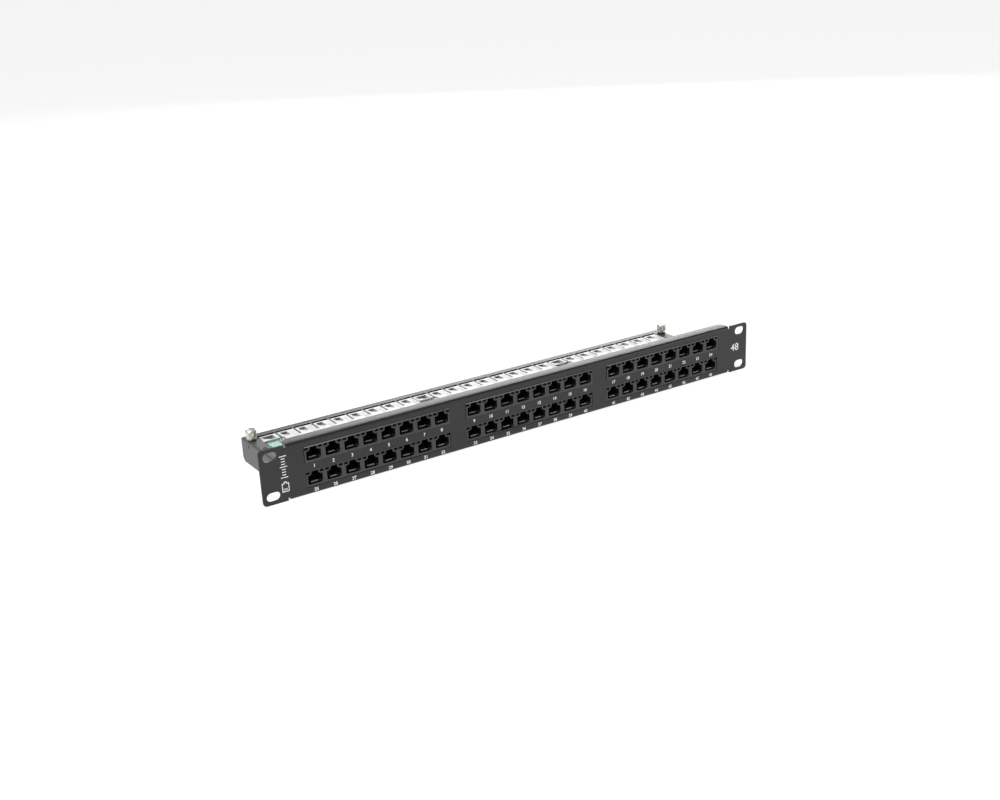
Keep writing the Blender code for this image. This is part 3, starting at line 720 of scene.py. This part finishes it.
def make_ear_marks():
    """A plain socket sign over a graduated rule on the left ear, and the port count on the right one."""
    bm = bmesh.new()
    half, stroke = EAR_MARK_HALF, EAR_MARK_STROKE
    latch, latch_top = SIGN_LATCH_HALF, SIGN_HIGH + SIGN_LATCH_RISE

    def bar(left, right, low, high):
        add_box(bm, (left - EAR_MARK_X, -PRINT_THICKNESS, low), (right - EAR_MARK_X, 0, high))

    bar(-half, stroke - half, SIGN_LOW, SIGN_HIGH)
    bar(half - stroke, half, SIGN_LOW, SIGN_HIGH)
    bar(stroke - half, half - stroke, SIGN_LOW, SIGN_LOW + stroke)
    bar(stroke - half, -latch, SIGN_HIGH - stroke, SIGN_HIGH)
    bar(latch, half - stroke, SIGN_HIGH - stroke, SIGN_HIGH)
    bar(-latch, stroke - latch, SIGN_HIGH - stroke, latch_top)
    bar(latch - stroke, latch, SIGN_HIGH - stroke, latch_top)
    bar(stroke - latch, latch - stroke, latch_top - stroke, latch_top)
    for i in range(SIGN_WIRES):
        left = SIGN_WIRE_LEFT + i * SIGN_WIRE_PITCH
        bar(left, left + SIGN_WIRE_WIDTH, SIGN_WIRE_LOW, SIGN_WIRE_HIGH)
    for i in range(RULE_MARKS):
        reach = half if i % 4 == 0 else RULE_SHORT_HALF
        low = RULE_LOW + i * RULE_PITCH
        bar(-reach, reach, low, low + stroke)
    piece("ear_mark_left", bm, [INK])
    bm = bmesh.new()
    count = str(PORTS * len(GROUPS) * len(ROWS))
    add_text(bm, count, EAR_NUMBER_SIZE, EAR_NUMBER_WEIGHT, (EAR_NUMBER_X, EAR_NUMBER_Z))
    piece("ear_mark_right", bm, [INK])


# ---- jack blocks ----


def make_jack_block(row, group):
    """The moulded block. The insides of its sockets and label windows are painted near black as painted
    shade, and the upper nose has its top edge painted paler as a painted highlight. Its front stands a hair
    inside the CAD box."""
    name = f"jack_block_{row}_{group}"
    low, high = local_box(name)
    bm = solid_of(name)
    for face in bm.faces:
        middle = face.calc_center_median()
        inside_x = low.x + BLOCK_SIDE < middle.x < high.x - BLOCK_SIDE
        inside_z = low.z + BLOCK_CAP < middle.z < high.z - BLOCK_CAP
        deep = middle.y > low.y + LABEL_FLOOR / 2
        # Inner faces take the painted shade.
        face.material_index = int(inside_x and inside_z and deep)
    middle_height = low.z + BLOCK_BOTTOM
    round_socket_floors(bm, group, middle_height - SOCKET_DROP)
    # Painted highlight: the upper nose's top edge is chamfered and painted pale, as if lit from above.
    if row == "upper":
        for face in chamfer(bm, low.y, middle_height + NOSE_HALF_HEIGHT, NOSE_CHAMFER):
            face.material_index = 2
    for vert in bm.verts:
        vert.co.y = max(vert.co.y, low.y + NOSE_SETBACK)
    materials = [JACK_PLASTIC, SOCKET_SHADE, NOSE_HIGHLIGHT]
    finished(name, bm, materials, BLOCK_EDGE)


def round_socket_floors(bm, group, floor):
    """Rounds the two long edges where each socket's floor meets its walls."""
    corners = [x + side * SOCKET_HALF_WIDTH for x in port_xs(group) for side in (-1, 1)]

    def at_corner(vert):
        near_wall = any(abs(vert.co.x - x) < SAME_PLACE for x in corners)
        return near_wall and abs(vert.co.z - floor) < SAME_PLACE

    edges = [
        edge
        for edge in bm.edges
        if all(at_corner(vert) for vert in edge.verts)
        and abs(edge.verts[0].co.x - edge.verts[1].co.x) < JUST_INSIDE
    ]
    bmesh.ops.bevel(bm, geom=edges, offset=SOCKET_ROUND, segments=3, profile=0.5, affect="EDGES")


def make_carrier(row, group):
    refined(f"contact_carrier_{row}_{group}", [CARRIER_PLASTIC], SMALL_EDGE)


def tongue_of(row, group):
    """(front, floor, top) of the tongues in one block."""
    block_low, _ = local_box(f"jack_block_{row}_{group}")
    carrier_low, _ = local_box(f"contact_carrier_{row}_{group}")
    floor = block_low.z + BLOCK_BOTTOM - TONGUE_DROP
    return carrier_low.y, floor, floor + TONGUE_THICKNESS


def make_contacts(row, group):
    """Eight sprung wires rise from each tongue towards the back of its socket."""
    front, _, top = tongue_of(row, group)
    bm = bmesh.new()
    for x in port_xs(group):
        for i in range(WIRES):
            wire_x = x + (i - (WIRES - 1) / 2) * WIRE_PITCH
            points = [
                (wire_x, front + WIRE_START, top - WIRE_SINK),
                (wire_x, front + WIRE_START + 0.3, top + 0.2),
                (wire_x, front + WIRE_BEND, top + WIRE_BEND_RISE),
                (wire_x, front + WIRE_RUN * 0.7, top + WIRE_RISE * 0.72),
                (wire_x, front + WIRE_RUN, top + WIRE_RISE),
                (wire_x, front + WIRE_RUN + WIRE_END, top + WIRE_RISE - 0.1),
            ]
            add_wire(bm, points, WIRE_RADIUS)
    piece(f"contact_wires_{row}_{group}", bm, [GOLD])


def make_lips(row, group):
    """A pale comb across the front of each tongue, with a notch for each wire."""
    front, _, tongue_top = tongue_of(row, group)
    bm = bmesh.new()
    for x in port_xs(group):
        low = tongue_top - LIP_SINK
        top = low + LIP_HEIGHT
        outline = [(x + LIP_HALF_WIDTH, low), (x + LIP_HALF_WIDTH, top + LIP_TOOTH)]
        for i in reversed(range(WIRES)):
            notch = x + (i - (WIRES - 1) / 2) * WIRE_PITCH
            right, left = notch + LIP_NOTCH_HALF, notch - LIP_NOTCH_HALF
            outline += [(right, top + LIP_TOOTH), (right, top), (left, top), (left, top + LIP_TOOTH)]
        outline.append((x - LIP_HALF_WIDTH, top + LIP_TOOTH))
        outline.append((x - LIP_HALF_WIDTH, low))
        add_prism(bm, [(a, front - LIP_PROUD, b) for a, b in outline], (0, LIP_DEPTH, 0))
    piece(f"tongue_lips_{row}_{group}", bm, [LIP_PLASTIC], edge=LIP_EDGE)


# ---- termination strips and boards ----


def mirror_height():
    upper_low, _ = local_box("circuit_board_upper_left")
    _, lower_high = local_box("circuit_board_lower_left")
    return (upper_low.z + lower_high.z) / 2


MIRROR_Z = mirror_height()


def layer_piece(name, bm, row, material, edge=0.0):
    """A detail worked out in the upper layer, turned over for the lower one."""
    if row == "lower":
        mirrored(bm, MIRROR_Z)
    return piece(name, bm, [material], edge=edge)


def tile_edges(group):
    low, high = local_box(f"idc_strip_upper_{group}")
    count = round((high.x - low.x) / PORT_PITCH)
    return [low.x - GROOVE_HALF + i * PORT_PITCH for i in range(count)]


def pit_outline(left, width, rear, grow=0.0):
    """A pit's mouth, or the same outline let out by grow."""
    front = rear + PIT_FRONT
    back = rear + PIT_REAR
    return [
        (left - grow, front + PIT_SLANT - grow / 2),
        (left + width * PIT_SLANT_SHARE - grow / 2, front - grow),
        (left + width + grow, front - grow),
        (left + width + grow, back + grow),
        (left - grow, back + grow),
    ]


def pits_of(group):
    for i, edge in enumerate(tile_edges(group)):
        yield edge + PIT_LEFT, FIRST_PIT_WIDTH if i == 0 else PIT_WIDTH


def make_strip(row, group):
    """The white moulding with painted shade in its pits, grey or near black by the way each face looks, and
    a chamfer along its outer rear edge.
    """
    name = f"idc_strip_{row}_{group}"
    _, high = local_box(f"idc_strip_upper_{group}")
    bm = solid_of(name)
    for face in bm.faces:
        middle = face.calc_center_median()
        height = 2 * MIRROR_Z - middle.z if row == "lower" else middle.z
        inside = False
        for left, width in pits_of(group):
            across = left - JUST_INSIDE < middle.x < left + width + JUST_INSIDE
            along = PIT_FRONT - JUST_INSIDE < middle.y - high.y < PIT_REAR + JUST_INSIDE
            inside = inside or across and along and height < high.z - JUST_INSIDE
        # Painted shade in the pits: the wall facing left is lighter grey, the wall facing the front darker
        # grey, the rest near black.
        if inside and face.normal.x < -SQUARE_ON:
            face.material_index = 3
        elif inside:
            face.material_index = 2 if face.normal.y < -SQUARE_ON else 1
    chamfer(bm, high.y, 2 * MIRROR_Z - high.z if row == "lower" else high.z, STRIP_CHAMFER)
    materials = [STRIP_PLASTIC, PIT_SHADE_DEEP, PIT_SHADE_REAR, PIT_SHADE_SIDE]
    finished(name, bm, materials, STRIP_EDGE)


def make_strip_details(row, group):
    """A raised rim round each pit, grip ribs beside it and slotted blades inside it. The lower layer's
    rims and ribs would stand below the tray, so its strips are left smooth."""
    _, high = local_box(f"idc_strip_upper_{group}")
    top, rear = high.z, high.y
    if row == "upper":
        make_rims_and_ribs(group, top, rear)
    bm = bmesh.new()
    for left, width in pits_of(group):
        for share in BLADE_PLACES:
            for k in range(2):
                y = rear + PIT_REAR - BLADE_SETBACK - k * BLADE_PITCH
                add_blade(bm, left + width * share, y, top - PIT_DEPTH)
    layer_piece(f"clip_blades_{row}_{group}", bm, row, PLATED, BLADE_EDGE)


def make_rims_and_ribs(group, top, rear):
    bm = bmesh.new()
    for left, width in pits_of(group):
        inner = pit_outline(left, width, rear, RIM_CLEARANCE)
        outer = pit_outline(left, width, rear, RIM_CLEARANCE + RIM_WIDTH)
        add_ring_prism(bm, inner, outer, top - DETAIL_SINK, top + RIM_HEIGHT)
    piece(f"pit_rims_upper_{group}", bm, [STRIP_PLASTIC], edge=SMALL_EDGE)
    bm = bmesh.new()
    for i, edge in enumerate(tile_edges(group)):
        front = rear + (FIRST_RIB_FRONT if i == 0 else RIB_FRONT)
        start = RIB_START + (FIRST_PIT_WIDTH - PIT_WIDTH if i == 0 else 0)
        ribs = int((PORT_PITCH - RIB_MARGIN - start) / RIB_PITCH) + 1
        for k in range(ribs):
            x = edge + start + k * RIB_PITCH
            low = (x, front, top - DETAIL_SINK)
            add_box(bm, low, (x + RIB_WIDTH, rear + RIB_REAR, top + RIB_HEIGHT))
    piece(f"grip_ribs_upper_{group}", bm, [RIB_PLASTIC], edge=BOARD_EDGE)


def add_blade(bm, x, y, floor):
    """A flat blade with a narrow slot from its top, where a wire is pressed in."""
    top = floor + BLADE_HEIGHT
    right = [
        (BLADE_HALF, floor - DETAIL_SINK),
        (BLADE_HALF, top - BLADE_CORNER),
        (BLADE_HALF - BLADE_CORNER, top),
        (BLADE_SLOT_HALF + BLADE_LEAD_WIDTH, top),
        (BLADE_SLOT_HALF, top - BLADE_LEAD_DEPTH),
        (BLADE_SLOT_HALF, top - BLADE_SLOT_DEPTH),
    ]
    outline = right + [(-a, z) for a, z in reversed(right)]
    add_prism(bm, [(x + a, y, z) for a, z in outline], (0, BLADE_THICKNESS, 0))


def make_board_details(row, group, dice):
    """Copper tracks under the lacquer near the board's rear edge, and a pad at each end of them."""
    low, high = local_box(f"circuit_board_upper_{group}")
    top = high.z
    tracks = bmesh.new()
    pads = bmesh.new()
    count = int((high.x - low.x - 2 * TRACE_MARGIN) / TRACE_PITCH)
    for i in range(count):
        x = low.x + TRACE_MARGIN + i * TRACE_PITCH
        jog = dice.choice((-TRACE_JOG, 0.0, TRACE_JOG))
        start = high.y - TRACE_START + dice.uniform(0, TRACE_START_SPREAD)
        turn = high.y - TRACE_TURN + dice.uniform(-TRACE_TURN_SPREAD, TRACE_TURN_SPREAD)
        end = high.y - TRACE_END - dice.choice((0.0, TRACE_END_STEP, 2 * TRACE_END_STEP))
        path = [(x, start), (x, turn), (x + jog, turn + 1.0), (x + jog, end)]
        for (x0, y0), (x1, y1) in zip(path, path[1:]):
            corners = [
                (x0 - TRACE_WIDTH / 2, y0, top - TRACE_SINK),
                (x0 + TRACE_WIDTH / 2, y0, top - TRACE_SINK),
                (x1 + TRACE_WIDTH / 2, y1, top - TRACE_SINK),
                (x1 - TRACE_WIDTH / 2, y1, top - TRACE_SINK),
            ]
            add_prism(tracks, corners, (0, 0, TRACE_HEIGHT))
        profile = [
            (0, top + PAD_HEIGHT),
            (PAD_RADIUS * 0.5, top + PAD_HEIGHT * 1.6),
            (PAD_RADIUS, top + PAD_HEIGHT * 0.6),
            (PAD_RADIUS, top - TRACE_SINK),
            (0, top - TRACE_SINK),
        ]
        add_turned(pads, (x + jog, end), profile, PAD_SIDES)
    layer_piece(f"board_tracks_{row}_{group}", tracks, row, TRACE)
    layer_piece(f"board_pads_{row}_{group}", pads, row, SOLDER)


def make_layers():
    dice = random.Random(7)
    for group in GROUPS:
        for row in ROWS:
            refined(f"circuit_board_{row}_{group}", [LAMINATE], BOARD_EDGE)
            make_strip(row, group)
            make_strip_details(row, group)
            make_board_details(row, group, dice)


# ---- fasteners ----


def carve(obj, bm):
    """Cuts a shape in panel millimetres out of a piece, for good."""
    bmesh.ops.recalc_face_normals(bm, faces=bm.faces)
    bm.transform(TO_WORLD)
    mesh = bpy.data.meshes.new("cutter")
    bm.to_mesh(mesh)
    bm.free()
    cutter = bpy.data.objects.new("cutter", mesh)
    bpy.context.scene.collection.objects.link(cutter)
    cut = obj.modifiers.new("carve", "BOOLEAN")
    cut.operation = "DIFFERENCE"
    cut.solver = "EXACT"
    cut.object = cutter
    graph = bpy.context.evaluated_depsgraph_get()
    carved = bpy.data.meshes.new_from_object(obj.evaluated_get(graph))
    obj.modifiers.clear()
    obj.data = carved
    bpy.data.objects.remove(cutter)
    bpy.data.meshes.remove(mesh)


def axis_of(node):
    low, high = local_box(node)
    return (low.x + high.x) / 2, (low.y + high.y) / 2


def screw_head(radius, low, height):
    """A domed head's profile from its middle out and down."""
    points = [(0, low + height)]
    for i in range(1, DOME_STEPS + 1):
        angle = math.pi / 2 * i / DOME_STEPS
        out = DOME_FLAT + (1 - DOME_FLAT) * math.sin(angle)
        up = DOME_FLAT + (1 - DOME_FLAT) * math.cos(angle)
        points.append((radius * out, low + height * up))
    points.append((radius, low + height * DOME_FOOT))
    points.append((radius * DOME_UNDERCUT, low))
    return points


def threaded(shank, top, bottom):
    """A threaded shank's profile: ridges at the thread's pitch, then a chamfered end."""
    points = [(shank, top)]
    turns = int((top - bottom - THREAD_END) / THREAD_PITCH)
    for i in range(turns):
        z = top - THREAD_START - i * THREAD_PITCH
        points.append((shank - THREAD_DEPTH, z))
        points.append((shank, z - THREAD_PITCH / 2))
    points.append((shank - THREAD_CHAMFER, bottom))
    points.append((0, bottom))
    return points


def add_cross(bm, at, half, low, high):
    """An upright cross-shaped prism."""
    arm = [(half, -CROSS_ARM), (half, CROSS_ARM), (CROSS_ARM, CROSS_ARM)]
    outline = []
    for turn in range(4):
        for x, y in arm:
            for _ in range(turn):
                x, y = -y, x
            outline.append((at[0] + x, at[1] + y, low))
    add_prism(bm, outline, (0, 0, high - low))


def make_cross_screw(node, sizes, material, row="upper"):
    """A domed screw with a cross recess, standing for the CAD screw. Its sizes are the head's radius and
    height and the shank's radius."""
    head_radius, head_height, shank = sizes
    low, high = local_box(node)
    if row == "lower":
        low.z, high.z = 2 * MIRROR_Z - high.z, 2 * MIRROR_Z - low.z
    at = axis_of(node)
    seat = high.z - head_height
    bm = bmesh.new()
    add_turned(bm, at, screw_head(head_radius, seat, head_height) + threaded(shank, seat, low.z))
    cutter = bmesh.new()
    add_cross(cutter, at, head_radius * CROSS_REACH, high.z - head_height * CROSS_DEPTH, high.z + 1)
    if row == "lower":
        mirrored(bm, MIRROR_Z)
        mirrored(cutter, MIRROR_Z)
    obj = finished(node, bm, [material], 0.0)
    carve(obj, cutter)
    obj.data.shade_smooth()
    obj.data.set_sharp_from_angle(angle=SMOOTH_ANGLE)


def knurled(head_low, head_high):
    """Fine straight flutes round the head, fading out at both of its chamfers."""

    def reach(radius, z, angle):
        if radius < KNURL_LEAST_RADIUS or not head_low < z < head_high:
            return radius
        return radius - KNURL_DEPTH * (1 - math.cos(KNURLS * angle)) / 2

    return reach


def make_thumbscrew(side):
    """A fluted captive screw with a slot across its top."""
    node = f"thumbscrew_{side}"
    low, high = local_box(node)
    at = axis_of(node)
    radius = (high.x - low.x) / 2
    seat = high.z - THUMB_HEAD_HEIGHT
    profile = [
        (0, high.z - 0.15),
        (radius * 0.55, high.z - 0.15),
        (radius * 0.62, high.z),
        (radius - 0.7, high.z),
        (radius - 0.15, high.z - 0.55),
        (radius, high.z - 0.8),
        (radius, high.z - 3.4),
        (radius, seat + 1.6),
        (radius - 0.15, seat + 1.3),
        (radius - 0.9, seat + 1.1),
        (radius - 0.9, seat + 0.6),
        (radius - 0.3, seat + 0.5),
        (radius - 0.4, seat),
    ]
    bm = bmesh.new()
    flutes = knurled(seat + THUMB_GRIP_LOW, high.z - THUMB_RIM)
    add_turned(bm, at, profile + threaded(THUMB_SHANK_R, seat, low.z), KNURLS * 6, flutes)
    obj = finished(node, bm, [NICKEL], 0.0, node)
    cutter = bmesh.new()
    slot_low = (at[0] - THUMB_SLOT_REACH, at[1] - THUMB_SLOT_HALF, high.z - THUMB_SLOT_DEPTH)
    add_box(cutter, slot_low, (at[0] + THUMB_SLOT_REACH, at[1] + THUMB_SLOT_HALF, high.z + 2))
    carve(obj, cutter)
    obj.data.shade_smooth()
    obj.data.set_sharp_from_angle(angle=SMOOTH_ANGLE)


def make_fasteners():
    for group in GROUPS:
        refined(f"board_spacer_{group}", [PLATED], NUT_EDGE)
        for row in ROWS:
            make_cross_screw(f"board_screw_{row}_{group}", BOARD_SCREW, PLATED, row)
    for side in SIDES:
        make_cross_screw(f"cover_screw_{side}", COVER_SCREW, GREY_STEEL)
        make_thumbscrew(side)
        refined(f"thumbscrew_washer_{side}", [DARK_PLATED], WASHER_EDGE)
        refined(f"thumbscrew_nut_{side}", [PLATED], NUT_EDGE)
        for level in ROWS:
            refined(f"tray_nut_{side}_{level}", [PLATED], NUT_EDGE)


# ---- stage ----


def make_floor():
    mesh = bpy.data.meshes.new("floor")
    half = FLOOR_SIZE / 2
    corners = [(-half, -half, 0), (half, -half, 0), (half, half, 0), (-half, half, 0)]
    mesh.from_pydata(corners, [], [(0, 1, 2, 3)])
    floor = bpy.data.objects.new("floor", mesh)
    floor.location.z = CAD_BOX[0].z - FLOOR_DROP
    bpy.context.scene.collection.objects.link(floor)
    material = bpy.data.materials.new("pale_floor")
    material.use_nodes = True
    shader = material.node_tree.nodes["Principled BSDF"]
    shader.inputs["Base Color"].default_value = (*grey(FLOOR_GREY), 1)
    shader.inputs["Roughness"].default_value = 1.0
    shader.inputs["Specular IOR Level"].default_value = 0.0
    shader.inputs["Emission Color"].default_value = (1, 1, 1, 1)
    shader.inputs["Emission Strength"].default_value = FLOOR_GLOW
    mesh.materials.append(material)


def add_softbox(name, at, aim, size, power):
    light = bpy.data.lights.new(name, "AREA")
    light.shape = "RECTANGLE"
    light.size, light.size_y = size
    light.energy = power
    obj = bpy.data.objects.new(name, light)
    obj.location = at
    obj.rotation_mode = "QUATERNION"
    obj.rotation_quaternion = (Vector(aim) - Vector(at)).to_track_quat("-Z", "Y")
    bpy.context.scene.collection.objects.link(obj)


def make_light():
    world = bpy.data.worlds.new("studio")
    world.use_nodes = True
    background = world.node_tree.nodes["Background"]
    tree = world.node_tree
    direction = add_node(tree, "TexCoord").outputs["Generated"]
    height = add_node(tree, "SeparateXYZ", inputs={"Vector": direction}).outputs["Z"]
    level = mapped(tree, height, HORIZON_HEIGHT, ZENITH_HEIGHT, HORIZON_LEVEL, ZENITH_LEVEL)
    background.inputs["Color"].default_value = (1, 1, 1, 1)
    tree.links.new(level, background.inputs["Strength"])
    bpy.context.scene.world = world
    add_softbox("key", (-1.2, -0.3, 1.6), (0, 0, 0), (1.6, 1.2), 38.0)
    add_softbox("back", (1.3, 1.6, 0.72), (0.1, 0, 0.03), (1.6, 0.8), 20.0)
    add_softbox("fill", (1.5, -1.2, 0.35), (0.2, 0, 0.02), (0.9, 0.5), 6.0)


def make_camera():
    camera = bpy.data.objects.new("camera", bpy.data.cameras.new("camera"))
    camera.data.lens = CAMERA_LENS
    camera.location = CAMERA_AT
    camera.rotation_mode = "QUATERNION"
    look = (Vector(CAMERA_AIM) - Vector(CAMERA_AT)).to_track_quat("-Z", "Y")
    camera.rotation_quaternion = look @ Quaternion((0, 0, 1), math.radians(CAMERA_ROLL))
    bpy.context.scene.collection.objects.link(camera)
    bpy.context.scene.camera = camera
    bpy.context.scene.view_settings.view_transform = "Standard"


make_camera()
make_light()
make_floor()
make_front_panel()
make_tray()
make_numbers()
make_ear_marks()
for group_name in GROUPS:
    for row_name in ROWS:
        make_jack_block(row_name, group_name)
        make_carrier(row_name, group_name)
        make_contacts(row_name, group_name)
        make_lips(row_name, group_name)
make_layers()
make_fasteners()
